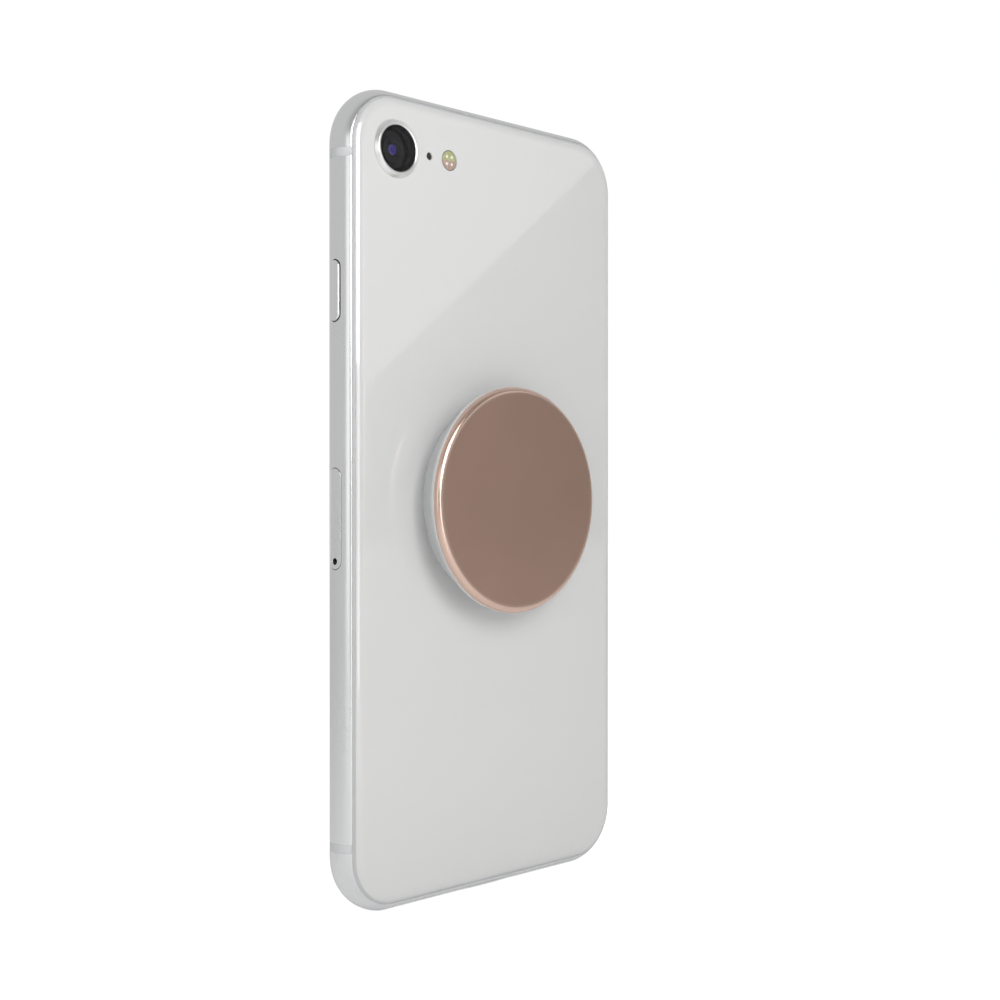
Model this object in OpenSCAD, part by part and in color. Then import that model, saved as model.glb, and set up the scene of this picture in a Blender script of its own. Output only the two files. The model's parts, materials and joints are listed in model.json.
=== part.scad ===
// Smartphone with a collapsible grip on its back.
// Modelled flat, screen up, then stood upright: +X is the power-key side, +Z the earpiece end,
// and the screen faces -Y. The origin is the centre of the front glass.
// Depths are measured from the front glass towards the back.

/* [Body] */
// Width of the body across the side frame
body_w = 67.3; // [60:0.1:80]
// Length of the body
body_h = 138.4; // [135:0.1:160]
// Thickness of the body without the grip
body_t = 7.3; // [7:0.1:9]
// Corner radius in plan
corner_r = 10.2; // [8:0.1:14]
// Thickness of the front and rear glass
glass_t = 0.5; // [0.4:0.05:0.6]
// Thickness of the seal between each glass and the side frame
seal_t = 0.34; // [0.2:0.02:0.4]
// Wall thickness of the side frame at its middle
frame_wall = 2.0; // [1.8:0.1:2.4]

/* [Keys] */
// Length of a side key
key_l = 10.0; // [8:0.1:12]
// Width of a side key
key_w = 2.2; // [1.8:0.1:2.6]
// How far a key stands proud of the frame
key_proud = 0.2; // [0.1:0.05:0.4]
// Travel of a key
key_travel = 0.3; // [0.1:0.05:0.4]
// Gap around a key
key_gap = 0.15; // [0.1:0.01:0.2]

/* [Rear camera] */
// Distance of the camera from the side and top edges
camera_edge = 10.32; // [9.5:0.01:12]
// Radius of the camera trim where it meets the glass
camera_r = 4.9; // [4:0.1:5.2]
// Height of the camera trim above the glass
camera_rise = 0.75; // [0.4:0.05:1.2]

/* [Grip] */
// Radius of the grip's round top
grip_r = 19.87; // [18:0.01:22]
// Radius of the grip's base
grip_base_r = 17.4; // [16:0.1:18]
// Height of the folded grip above the rear glass
grip_h = 6.55; // [6.4:0.05:7]

/* [Screen] */
// Width of the lit area
screen_w = 58.6; // [50:0.1:62]
// Length of the lit area
screen_h = 104.3; // [90:0.1:110]
// Distance of the home key's centre from the bottom edge
home_edge = 9.1; // [8.8:0.05:10]

/* [Hidden] */
$fn = 48;
edge_r = body_t / 2;
core_x = body_w / 2 - corner_r;
core_y = body_h / 2 - corner_r;
round_u = corner_r - edge_r;
seal_w = 2.6;
inner_x = body_w / 2 - frame_wall;
inner_y = body_h / 2 - frame_wall;
band_d0 = glass_t + seal_t;
band_d1 = body_t - band_d0;
mid_d = body_t / 2;
rear_in = body_t - glass_t;
// depths of the stack, from the front glass inwards
panel_d1 = 1.75;
shield_d1 = 1.95;
board_d0 = 4.7;
board_d1 = 5.5;
plate_d0 = 5.8;
plate_d1 = 6.1;
// power key and volume keys
power_y = 34.5;
volume_up_y = 34.5;
volume_down_y = 22.1;
key_flange_l = key_l + 1.6;
key_flange_w = key_w + 1.0;
key_flange_t = 0.4;
key_foot = inner_x - 0.1;
// mute switch
mute_y = 46.4;
mute_slot_l = 6.2;
mute_slot_w = 2.7;
mute_l = 5.6;
mute_w = 1.5;
mute_travel = 0.7;
// antenna bands
band_y = 57.2;
band_l = 1.5;
// card tray
sim_y = -3.06;
sim_l = 16.8;
sim_w = 2.7;
sim_gap = 0.08;
sim_hole_r = 0.55;
sim_hole_y = sim_y - sim_l / 2 + sim_w / 2 + 0.05;
tray_y = -2.15;
tray_w = 13.5;
tray_x0 = 14.5;
tray_d0 = 3.2;
tray_d1 = 4.2;
card_l = 12.3;
card_w = 8.8;
card_x = 21.2;
// eject rod and lever behind the tray
lever_x = 12.2;
lever_y = -6.9;
// rear camera, microphone and flash in one row
camera_x = body_w / 2 - camera_edge;
camera_y = body_h / 2 - camera_edge;
mic_x = 15.7;
flash_x = 11.0;
mic_r = 0.65;
flash_r = 1.78;
led_d0 = 6.4;
lens_hole_r = 4.5;
window_r = 3.88;
barrel_r = 3.3;
sensor_w = 9.8;
sensor_l = 10.2;
led_pitch = 0.58;
led_rise = 0.62;
led_w = 0.9;
led_l = 1.0;
// front features
home_y = -body_h / 2 + home_edge;
home_r = 5.0;
home_d1 = 1.5;
home_ring = 0.44;
ear_y = 60.4;
ear_l = 10.6;
ear_w = 1.5;
front_camera_x = -12.2;
sensor_y = 64.4;
// bottom edge
port_l = 8.7;
port_w = 2.7;
screw_x = 8.2;
screw_r = 0.95;
hole_x = 11.6;
hole_pitch = 2.5;
hole_r = 0.75;
hole_count = 6;
head_z = 68.95;
shank_z = 68.1;
shank_end = 64.2;
shank_r = 0.6;
port_end = 59.2;
contact_count = 8;
contact_pitch = 0.78;
contact_w = 0.44;
// battery, and the board with its screws
battery_x = -10.6;
battery_y = 4;
battery_w = 38.4;
battery_l = 91;
battery_d0 = 2.45;
battery_d1 = 5.6;
tabs_x = [-22, -11, 0];
tab_w = 6;
tab_d0 = 5.62;
tab_d1 = 5.78;
board_x0 = 9.2;
board_x1 = 29.6;
board_screws = [[28, -36], [28, 49.5], [10.8, -36]];
shield_d0 = 3.2;
bracket_d0 = 2.3;
bracket_t = 0.3;
// charging coil
coil_r0 = 10;
coil_r1 = 19.9;
coil_pitch = 1.1;
wire_w = 0.9;
ferrite_r = 21.5;
// haptic motor and loudspeaker
haptic_x0 = -29;
haptic_x1 = -6.4;
haptic_y0 = -60.2;
haptic_y1 = -51.2;
haptic_d0 = 2.5;
haptic_d1 = 5.6;
haptic_wall = 0.5;
speaker_x0 = 7.4;
speaker_x1 = 29;
speaker_y = -60.6;
speaker_d0 = 2.4;
// key crown and the switches behind the keys
crown_r = 12;
switch_l = 4.8;
switch_t = 0.6;
dome_r = 1.0;
// grip, heights above the rear glass
pad_h = 0.6;
base_h = 3.4;
base_wall = 1.5;
floor_h = 1.4;
hub_r = 8.0;
hub_gap = 0.06;
table_r = 15.3;
table_h0 = 1.5;
table_h1 = 2.0;
stem_r = 7.0;
top_h0 = 4.75;
cap_h0 = 5.45;

// ---------- shapes ----------

// Stands the flat model upright.
module upright() rotate([90, 0, 0]) children();

// A flat shape between two depths.
module slab(d0, d1) translate([0, 0, -d1]) linear_extrude(d1 - d0) children();

// A shape drawn as (length, depth), carried along X from x0 to x1.
module side_cut(x0, x1)
  translate([x0, 0, 0]) rotate([90, 0, 90]) linear_extrude(x1 - x0) mirror([0, 1]) children();

// A shape drawn as (x, depth), carried along the length from y0 to y1.
module end_cut(y0, y1)
  translate([0, y1, 0]) rotate([90, 0, 0]) linear_extrude(y1 - y0) mirror([0, 1]) children();

// A profile drawn as (outwards, -depth), carried round the body's outline.
module around()
  for (k = [0:3])
    let (a = k % 2 == 0 ? core_x : core_y, b = k % 2 == 0 ? core_y : core_x)
      rotate(90 * k) translate([a, b, 0]) {
        rotate_extrude(angle = 90) children();
        rotate([90, 0, 0]) linear_extrude(2 * b) children();
      }

// The body's rounded edge as a half profile between two depths, from u_in outwards.
module edge_profile(d0, d1, u_in)
  intersection() {
    translate([round_u, -mid_d]) circle(r = edge_r);
    translate([u_in, -d1]) square([corner_r + 1 - u_in, d1 - d0]);
  }

// A bar with round ends, lying along its first axis.
module pill(l, w) {
  square([l - w, w], center = true);
  for (s = [-1, 1]) translate([s * (l - w) / 2, 0]) circle(r = w / 2);
}

// A rectangle with round corners.
module soft_rect(w, h, r) {
  square([w - 2 * r, h], center = true);
  square([w, h - 2 * r], center = true);
  for (x = [-1, 1], y = [-1, 1]) translate([x * (w / 2 - r), y * (h / 2 - r)]) circle(r = r);
}

// A box given by its low and high x, y and its two depths.
module block(x0, x1, y0, y1, d0, d1) translate([x0, y0, -d1]) cube([x1 - x0, y1 - y0, d1 - d0]);

// A disc or ring about the depth axis at x, y.
module disc(x, y, r, d0, d1, hole = 0)
  translate([x, y, -d1]) difference() {
    cylinder(r = r, h = d1 - d0);
    if (hole > 0) translate([0, 0, -1]) cylinder(r = hole, h = d1 - d0 + 2);
  }

// A revolved profile drawn as (radius, height above the rear glass), about the grip's axis.
module grip_turn() translate([0, 0, -body_t]) mirror([0, 0, 1]) rotate_extrude() children();

// The whole rounded edge of the body between two depths, with its core filled.
module body_slice(d0, d1) {
  around() {
    edge_profile(d0, d1, round_u);
    translate([0, -d1]) square([round_u, d1 - d0]);
  }
  block(-core_x, core_x, -core_y, core_y, d0, d1);
}

// ---------- housing ----------

module antenna_slots() {
  for (y = [-1, 1], x = [-1, 1])
    block(x > 0 ? inner_x - 1 : -body_w, x > 0 ? body_w : -inner_x + 1,
      y * band_y - band_l / 2, y * band_y + band_l / 2, band_d0 - 1, band_d1 + 1);
}

module side_frame() color([0.78, 0.79, 0.79]) upright() difference() {
  around() edge_profile(band_d0, band_d1, corner_r - frame_wall);
  antenna_slots();
  side_cut(inner_x - 1, body_w) translate([power_y, mid_d]) pill(key_l + 2 * key_gap, key_w + 2 * key_gap);
  for (y = [volume_up_y, volume_down_y])
    side_cut(-body_w, -inner_x + 1) translate([y, mid_d]) pill(key_l + 2 * key_gap, key_w + 2 * key_gap);
  side_cut(-body_w, -inner_x + 1) translate([mute_y, mid_d]) pill(mute_slot_l, mute_slot_w);
  side_cut(inner_x - 1, body_w) translate([sim_y, mid_d]) pill(sim_l, sim_w);
  end_cut(-body_h, -inner_y + 1) translate([0, mid_d]) pill(port_l, port_w);
  end_cut(-body_h, -inner_y + 1)
    for (x = [-1, 1]) {
      translate([x * screw_x, mid_d]) circle(r = screw_r + 0.05);
      for (i = [0:hole_count - 1]) translate([x * (hole_x + i * hole_pitch), mid_d]) circle(r = hole_r);
    }
}

module antenna_bands() color([0.8, 0.8, 0.8]) upright() intersection() {
  around() edge_profile(band_d0, band_d1, corner_r - frame_wall);
  antenna_slots();
}

module chassis_plate() color([0.55, 0.56, 0.58]) upright() difference() {
  slab(plate_d0, plate_d1) soft_rect(2 * inner_x - 0.2, 2 * inner_y - 0.2, corner_r - frame_wall);
  disc(camera_x, camera_y, 4.2, plate_d0 - 1, plate_d1 + 1);
  disc(mic_x, camera_y, 1.2, plate_d0 - 1, plate_d1 + 1);
  disc(flash_x, camera_y, 2.2, plate_d0 - 1, plate_d1 + 1);
}

module rear_glass() color([0.88, 0.88, 0.87]) upright() difference() {
  body_slice(rear_in, body_t);
  disc(camera_x, camera_y, lens_hole_r, rear_in - 1, body_t + 1);
  disc(mic_x, camera_y, mic_r, rear_in - 1, body_t + 1);
  disc(flash_x, camera_y, flash_r, rear_in - 1, body_t + 1);
}

module seal_ring(d0) around() edge_profile(d0, d0 + seal_t, corner_r - seal_w);

module rear_seal() color([0.72, 0.72, 0.72]) upright() seal_ring(body_t - glass_t - seal_t);

module front_seal() color([0.72, 0.72, 0.72]) upright() seal_ring(glass_t);

module front_glass() color([0.93, 0.93, 0.92]) upright() difference() {
  body_slice(0, glass_t);
  disc(0, home_y, home_r + home_ring + 0.03, -1, glass_t + 1);
  slab(-1, glass_t + 1) translate([0, ear_y]) pill(ear_l, ear_w);
}

// ---------- display and front parts ----------

module display_panel() color([0.03, 0.03, 0.04]) upright()
  slab(glass_t, panel_d1) square([screen_w + 1, screen_h + 1], center = true);

module display_shield() color([0.62, 0.63, 0.65]) upright() difference() {
  slab(panel_d1, shield_d1) square([screen_w, screen_h + 0.6], center = true);
  for (y = [-1, 1]) block(-2, 2, y * 42 - 1.5, y * 42 + 1.5, panel_d1 - 1, shield_d1 + 1);
}

module display_flex() color([0.75, 0.55, 0.2]) upright() {
  block(10.5, 16.5, 50.6, 56.2, shield_d1, shield_d1 + 0.12);
  for (y = [52.0, 54.9]) block(10.5, 16.5, y, y + 1.3, shield_d1 + 0.12, board_d0);
}

module earpiece_mesh() color([0.25, 0.25, 0.26]) upright()
  slab(0.18, 0.34) translate([0, ear_y]) pill(ear_l - 0.06, ear_w - 0.06);

module earpiece_speaker() color([0.12, 0.12, 0.13]) upright() {
  block(-7, 7, 57.6, 62.2, 1.3, 4.6);
  block(-5, 5, 59.8, 61.0, glass_t + 0.05, 1.3);
}

module front_camera() color([0.08, 0.08, 0.09]) upright() {
  block(front_camera_x - 3, front_camera_x + 3, 57.4, 63.4, 1.6, 5.2);
  disc(front_camera_x, ear_y, 1.7, glass_t, 1.6);
}

module proximity_sensor() color([0.05, 0.05, 0.06]) upright() {
  disc(0, sensor_y, 1.1, glass_t, 1.2);
  block(-2, 2, sensor_y - 1.3, sensor_y + 1.3, 1.2, 2.4);
}

// The key's face is a shallow dish.
module home_key() color([0.93, 0.93, 0.92]) upright() translate([0, home_y, 0]) rotate_extrude()
  polygon([[0, -home_d1], [home_r - 0.04, -home_d1], [home_r - 0.04, -0.1], [home_r - 0.6, -0.13],
    [home_r / 2, -0.25], [0, -0.3]]);

module home_key_ring() color([0.8, 0.8, 0.8]) upright()
  disc(0, home_y, home_r + home_ring, 0.05, home_d1, home_r);

module home_key_bracket() color([0.6, 0.6, 0.62]) upright() {
  disc(0, home_y, home_r + 0.9, home_d1, home_d1 + 0.4);
  for (s = [-1, 1]) block(s * 7.5 - 2, s * 7.5 + 2, home_y - 1.6, home_y + 1.6, home_d1, home_d1 + 0.4);
}

// ---------- rear camera, flash and microphone ----------

module camera_trim() color([0.8, 0.8, 0.8]) upright() translate([camera_x, camera_y, -body_t])
  mirror([0, 0, 1]) rotate_extrude()
    polygon([[3.9, -0.45], [4.45, -0.45], [4.45, 0], [camera_r, 0], [camera_r, 0.12],
      [camera_r - 0.5, camera_rise], [4.12, camera_rise], [3.9, camera_rise - 0.14]]);

module camera_window() color([0.1, 0.1, 0.12, 0.5]) upright()
  disc(camera_x, camera_y, window_r, body_t - 0.05, body_t + 0.55);

module camera_module() color([0.1, 0.1, 0.1]) upright() difference() {
  union() {
    block(camera_x - sensor_w / 2, camera_x + sensor_w / 2, camera_y - sensor_l / 2, camera_y + sensor_l / 2,
      2.2, 5.7);
    disc(camera_x, camera_y, 4.1, 5.6, 6.75);
  }
  disc(camera_x, camera_y, barrel_r, 3.4, 9);
}

module camera_lens() color([0.08, 0.06, 0.15]) upright() difference() {
  union() {
    disc(camera_x, camera_y, barrel_r - 0.1, 3.75, 6.3);
    disc(camera_x, camera_y, 2.4, 6.3, 6.75);
  }
  // the front element sits at the bottom of a cone
  translate([camera_x, camera_y, -6.85]) cylinder(r1 = 1.7, r2 = 1.1, h = 0.6);
}

module flash_lens() color([0.95, 0.95, 0.9, 0.5]) upright()
  disc(flash_x, camera_y, flash_r - 0.03, body_t - 0.4, body_t);

module leds(side) for (x = [-1, 1])
  translate([flash_x + x * led_pitch, camera_y + side * led_rise, 0])
    block(-led_w / 2, led_w / 2, -led_l / 2, led_l / 2, led_d0, 6.7);

module flash_leds_cool() color([0.85, 0.9, 0.45]) upright() leds(1);

module flash_leds_warm() color([0.9, 0.6, 0.4]) upright() leds(-1);

module flash_board() color([0.9, 0.9, 0.86]) upright() disc(flash_x, camera_y, 2.0, 6.2, led_d0);

module rear_microphone() color([0.06, 0.06, 0.06]) upright() {
  disc(mic_x, camera_y, mic_r - 0.04, body_t - 0.4, body_t - 0.25);
  disc(mic_x, camera_y, 1.1, 5.85, 6.5);
}

// ---------- battery, board and coil ----------

module battery() color([0.1, 0.1, 0.11]) upright()
  slab(battery_d0, battery_d1) translate([battery_x, battery_y]) soft_rect(battery_w, battery_l, 1.6);

module battery_tabs() color([0.9, 0.9, 0.9]) upright() {
  for (x = tabs_x) {
    block(x - tab_w / 2, x + tab_w / 2, -36, 42, tab_d0, tab_d1);
    block(x - tab_w / 2, x + tab_w / 2, -42.6, -41.6, 4.6, tab_d1);
  }
}

module battery_connector() color([0.1, 0.1, 0.1]) upright() {
  block(8.62, 10.0, 14, 20, 3.0, 3.2);
  block(10.0, 13.4, 14, 20, 3.0, board_d0);
}

module logic_board() color([0.05, 0.12, 0.2]) upright() difference() {
  union() {
    block(board_x0, board_x1, -37.5, 51.5, board_d0, board_d1);
    block(-6, board_x0, 51.6, 56.6, board_d0, board_d1);
    block(board_x0, 16.8, 51.4, 56.6, board_d0, board_d1);
  }
  for (p = board_screws) disc(p[0], p[1], 0.7, board_d0 - 1, board_d1 + 1);
}

module board_shields() color([0.75, 0.76, 0.77]) upright() {
  block(10, 29.2, 22.6, 32.4, shield_d0, board_d0);
  block(14.2, 29.2, 6.6, 21.4, shield_d0, board_d0);
  block(10, 26, -34, -15.4, shield_d0, board_d0);
  block(-5, 8, 52.2, 56, 3.6, board_d0);
}

module board_brackets() color([0.82, 0.82, 0.83]) upright() {
  block(10.4, 27.6, 34.4, 46.4, bracket_d0, bracket_d0 + bracket_t);
  for (y = [34.4, 45.9]) block(10.4, 27.6, y, y + 0.5, bracket_d0 + bracket_t, board_d0);
}

module inner_screws() color([0.7, 0.7, 0.7]) upright()
  for (p = board_screws) {
    disc(p[0], p[1], 1.1, board_d0 - 0.5, board_d0);
    disc(p[0], p[1], 0.6, board_d0, 5.78);
  }

module charging_coil() color([0.75, 0.42, 0.2]) upright()
  for (r = [coil_r0:coil_pitch:coil_r1]) disc(0, 0, r + wire_w, 6.32, 6.7, r);

module coil_ferrite() color([0.2, 0.2, 0.22]) upright() disc(0, 0, ferrite_r, 6.12, 6.3, coil_r0 - 1.5);

// ---------- bottom end ----------

module haptic_case() color([0.6, 0.61, 0.62]) upright() difference() {
  block(haptic_x0, haptic_x1, haptic_y0, haptic_y1, haptic_d0, haptic_d1);
  block(haptic_x0 + haptic_wall, haptic_x1 - haptic_wall, haptic_y0 + haptic_wall, haptic_y1 - haptic_wall,
    haptic_d0 + 0.4, haptic_d1 - 0.4);
}

module haptic_mass() color([0.45, 0.42, 0.36]) upright() block(haptic_x0 + 2.4, haptic_x1 - 2.4,
  haptic_y0 + 0.8, haptic_y1 - 0.8, haptic_d0 + 0.5, haptic_d1 - 0.5);

module loudspeaker() color([0.14, 0.14, 0.15]) upright() {
  block(speaker_x0, speaker_x1, speaker_y, -42.2, speaker_d0, 5.6);
  block(speaker_x0 + 3.6, speaker_x1 - 3, -63.2, speaker_y, speaker_d0 + 0.4, 4.6);
}

module speaker_meshes() color([0.1, 0.1, 0.1]) upright()
  for (x = [-1, 1]) block(x > 0 ? 10.4 : -25.4, x > 0 ? 25.4 : -10.4, -66.9, -66.6, 2.6, 4.7);

module charge_port() color([0.7, 0.7, 0.71]) upright() difference() {
  end_cut(-inner_y + 0.04, -port_end + 0.6) translate([0, mid_d]) pill(port_l + 1.0, port_w + 0.7);
  end_cut(-inner_y - 1, -port_end) translate([0, mid_d]) pill(port_l, port_w);
}

module port_contacts() color([0.85, 0.7, 0.35]) upright()
  for (i = [0:contact_count - 1])
    translate([(i - (contact_count - 1) / 2) * contact_pitch, 0, 0])
      block(-contact_w / 2, contact_w / 2, -66.6, -port_end, mid_d + 1.1, mid_d + port_w / 2);

module case_screws() color([0.75, 0.75, 0.76]) upright()
  for (x = [-1, 1]) difference() {
    union() {
      end_cut(-head_z, -shank_z) translate([x * screw_x, mid_d]) circle(r = screw_r);
      end_cut(-shank_z, -shank_end) translate([x * screw_x, mid_d]) circle(r = shank_r);
    }
    end_cut(-head_z - 1, -head_z + 0.55) translate([x * screw_x, mid_d]) circle(r = 0.5, $fn = 6);
  }

// ---------- keys and mute switch ----------

// A key whose outer face is gently crowned; side is 1 for +X and -1 for -X.
module side_key(side, y) {
  face = body_w / 2 + key_proud;
  mirror([side < 0 ? 1 : 0, 0, 0]) {
    intersection() {
      side_cut(key_foot, face) translate([y, mid_d]) pill(key_l, key_w);
      translate([face - crown_r, y, -mid_d]) rotate([90, 0, 0])
        cylinder(r = crown_r, h = key_l + 2, center = true, $fn = 96);
    }
    side_cut(key_foot - key_flange_t, key_foot) translate([y, mid_d]) pill(key_flange_l, key_flange_w);
  }
}

module power_key() color([0.76, 0.77, 0.77]) upright() side_key(1, power_y);

module volume_up_key() color([0.76, 0.77, 0.77]) upright() side_key(-1, volume_up_y);

module volume_down_key() color([0.76, 0.77, 0.77]) upright() side_key(-1, volume_down_y);

module key_switches() color([0.3, 0.3, 0.32]) upright()
  for (k = [[1, power_y], [-1, volume_up_y], [-1, volume_down_y]])
    mirror([k[0] < 0 ? 1 : 0, 0, 0]) {
      side_cut(inner_x - 1.05, key_foot - key_flange_t - key_travel - 0.02)
        translate([k[1], mid_d]) circle(r = dome_r);
      block(inner_x - 1.05 - switch_t, inner_x - 1.05, k[1] - switch_l / 2, k[1] + switch_l / 2,
        mid_d - 1.5, mid_d + 1.4);
    }

module mute_slider() color([0.76, 0.77, 0.77]) upright() {
  side_cut(-body_w / 2 - 0.1, -inner_x - 0.35)
    translate([mute_y, mid_d - mute_travel / 2]) pill(mute_l, mute_w);
  side_cut(-inner_x - 0.35, -inner_x + 0.3)
    translate([mute_y, mid_d - mute_travel / 2]) square([2.4, 0.8], center = true);
}

module mute_switch_body() color([0.85, 0.3, 0.1]) upright() difference() {
  union() {
    block(-inner_x + 0.02, -inner_x + 1.6, mute_y - 3.6, mute_y + 3.6, mid_d - 1.5, mid_d + 1.5);
    side_cut(-inner_x - 0.3, -inner_x + 0.02)
      translate([mute_y, mid_d]) pill(mute_slot_l - 0.1, mute_slot_w - 0.1);
  }
  block(-inner_x - 1, -inner_x + 0.5, mute_y - 1.3, mute_y + 1.3, mid_d - 0.85, mid_d + 0.85);
}

// ---------- card tray ----------

module sim_tray() color([0.77, 0.78, 0.78]) upright() difference() {
  union() {
    intersection() {
      around() edge_profile(band_d0, band_d1, corner_r - frame_wall + 0.05);
      side_cut(inner_x, body_w)
        translate([sim_y, mid_d]) pill(sim_l - 2 * sim_gap, sim_w - 2 * sim_gap);
    }
    block(tray_x0, inner_x + 0.5, tray_y - tray_w / 2, tray_y + tray_w / 2, tray_d0, tray_d1);
  }
  block(card_x - card_w / 2 - 0.1, card_x + card_w / 2 + 0.1,
    tray_y - card_l / 2 - 0.1, tray_y + card_l / 2 + 0.1, tray_d0 - 1, tray_d0 + 0.7);
  block(card_x - 3.4, card_x + 3.4, tray_y - 5, tray_y + 5, tray_d0 - 1, tray_d1 + 1);
  side_cut(inner_x - 1, body_w) translate([sim_hole_y, mid_d]) circle(r = sim_hole_r);
}

module sim_card() color([0.95, 0.8, 0.3]) upright()
  block(card_x - card_w / 2, card_x + card_w / 2, tray_y - card_l / 2, tray_y + card_l / 2,
    tray_d0 + 0.03, tray_d0 + 0.7);

module sim_reader() color([0.7, 0.7, 0.72]) upright() difference() {
  block(14.3, 30.4, tray_y - 7.3, tray_y + 7.3, 2.7, board_d0);
  block(13, 32, tray_y - 6.95, tray_y + 6.95, 3.0, 4.4);
}

module sim_push_rod() color([0.6, 0.6, 0.62]) upright() {
  block(lever_x + 0.62, 30.2, sim_hole_y - 0.45, sim_hole_y + 0.25, 3.2, 4.1);
  block(29.4, 30.2, sim_hole_y - 0.7, sim_hole_y + 0.5, 3.0, 4.3);
}

module sim_eject_lever() color([0.6, 0.6, 0.62]) upright() {
  disc(lever_x, lever_y, 0.75, 3.2, 4.1);
  block(lever_x - 0.4, lever_x + 0.4, lever_y - 3.6, lever_y + 3.6, 3.2, 4.1);
}

// ---------- grip ----------

module grip_adhesive() color([0.85, 0.86, 0.85, 0.8]) upright()
  grip_turn() square([grip_base_r - 0.1, pad_h]);

module grip_base() color([0.86, 0.87, 0.86]) upright() grip_turn()
  polygon([[hub_r, floor_h], [hub_r, 1.0], [hub_r + 1.6, 1.0], [hub_r + 1.6, pad_h],
    [grip_base_r - 0.15, pad_h], [grip_base_r, pad_h + 0.15], [grip_base_r - 0.1, base_h - 0.2],
    [grip_base_r - 0.35, base_h], [grip_base_r - base_wall, base_h],
    [grip_base_r - base_wall, floor_h]]);

module grip_turntable() color([0.8, 0.81, 0.8]) upright() grip_turn()
  polygon([[5.5, pad_h + 0.05], [hub_r + 1.5, pad_h + 0.05], [hub_r + 1.5, 0.95], [hub_r - hub_gap, 0.95],
    [hub_r - hub_gap, table_h0], [table_r, table_h0], [table_r, table_h1], [5.5, table_h1]]);

// Two folds, each a steep wall and a ledge, from the turntable up to the carrier.
module grip_bellows() color([0.88, 0.88, 0.87]) upright() grip_turn()
  polygon([[14.9, table_h1], [14.2, 2.75], [12.9, 3.0], [12.3, 3.75], [10.4, 4.0], [9.9, 4.5], [8.6, 4.5],
    [8.6, 4.1], [9.7, 3.7], [11.8, 3.4], [12.4, 2.7], [13.7, 2.45], [14.1, table_h1]]);

// The stiff ring at the top of the folds, which the carrier's stem snaps into.
module grip_collar() color([0.82, 0.83, 0.82]) upright() grip_turn()
  polygon([[stem_r, 3.6], [8.6, 3.6], [8.6, top_h0], [stem_r, top_h0]]);

module grip_carrier() color([0.9, 0.9, 0.89]) upright() grip_turn()
  polygon([[0, 3.5], [stem_r, 3.5], [stem_r, top_h0], [grip_r - 0.12, top_h0], [grip_r, top_h0 + 0.12],
    [grip_r, cap_h0], [0, cap_h0]]);

module grip_cap() color([0.72, 0.55, 0.48]) upright() {
  edge = grip_h - cap_h0;
  grip_turn() {
    translate([0, cap_h0]) square([grip_r - edge, edge]);
    intersection() {
      translate([grip_r - edge, cap_h0]) circle(r = edge);
      translate([grip_r - edge, cap_h0]) square([edge, edge]);
    }
  }
}

side_frame();
antenna_bands();
chassis_plate();
rear_glass();
rear_seal();
front_seal();
front_glass();
display_panel();
display_shield();
display_flex();
earpiece_mesh();
earpiece_speaker();
front_camera();
proximity_sensor();
home_key();
home_key_ring();
home_key_bracket();
camera_trim();
camera_window();
camera_module();
camera_lens();
flash_lens();
flash_leds_cool();
flash_leds_warm();
flash_board();
rear_microphone();
battery();
battery_tabs();
battery_connector();
logic_board();
board_shields();
board_brackets();
inner_screws();
charging_coil();
coil_ferrite();
haptic_case();
haptic_mass();
loudspeaker();
speaker_meshes();
charge_port();
port_contacts();
case_screws();
power_key();
volume_up_key();
volume_down_key();
key_switches();
mute_slider();
mute_switch_body();
sim_tray();
sim_card();
sim_reader();
sim_push_rod();
sim_eject_lever();
grip_adhesive();
grip_base();
grip_turntable();
grip_bellows();
grip_collar();
grip_carrier();
grip_cap();
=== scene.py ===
"""Smartphone with a folding grip on its back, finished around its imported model.

Lengths are in millimetres in the row frame until a mesh is stored: +X is the power-key side, +Y runs out
of the back and +Z towards the earpiece. The body is a core rectangle with a rounded edge all round it: a
point of its skin is a core point plus a reach times the outward direction, at a depth y.
"""
import json
import math

import bmesh
import bpy
import numpy as np
from mathutils import Matrix, Vector


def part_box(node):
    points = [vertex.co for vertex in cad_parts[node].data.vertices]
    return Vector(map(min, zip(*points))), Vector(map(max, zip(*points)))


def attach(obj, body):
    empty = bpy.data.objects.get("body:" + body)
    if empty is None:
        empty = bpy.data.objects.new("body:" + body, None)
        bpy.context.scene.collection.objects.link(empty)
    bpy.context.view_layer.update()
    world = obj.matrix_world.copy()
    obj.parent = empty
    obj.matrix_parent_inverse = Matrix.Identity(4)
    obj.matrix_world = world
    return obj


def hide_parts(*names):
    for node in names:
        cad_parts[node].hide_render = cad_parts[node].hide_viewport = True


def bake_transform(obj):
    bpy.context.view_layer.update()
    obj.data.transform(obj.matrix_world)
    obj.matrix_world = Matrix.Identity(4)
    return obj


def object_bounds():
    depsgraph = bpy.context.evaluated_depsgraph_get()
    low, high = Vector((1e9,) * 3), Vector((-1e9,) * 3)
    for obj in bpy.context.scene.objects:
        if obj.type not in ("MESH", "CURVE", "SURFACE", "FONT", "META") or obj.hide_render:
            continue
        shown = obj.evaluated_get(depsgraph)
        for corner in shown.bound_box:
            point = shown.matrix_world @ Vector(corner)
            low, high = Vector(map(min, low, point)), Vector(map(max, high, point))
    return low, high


MM = 0.001
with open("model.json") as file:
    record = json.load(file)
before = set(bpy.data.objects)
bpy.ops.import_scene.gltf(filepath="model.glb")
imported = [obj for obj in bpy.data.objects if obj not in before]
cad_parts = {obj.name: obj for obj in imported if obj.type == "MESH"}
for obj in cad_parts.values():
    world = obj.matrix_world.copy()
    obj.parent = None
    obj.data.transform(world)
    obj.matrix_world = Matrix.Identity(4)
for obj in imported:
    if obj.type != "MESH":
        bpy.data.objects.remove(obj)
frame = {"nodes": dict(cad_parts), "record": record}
cad_box = [list(corner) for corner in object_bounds()]
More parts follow.
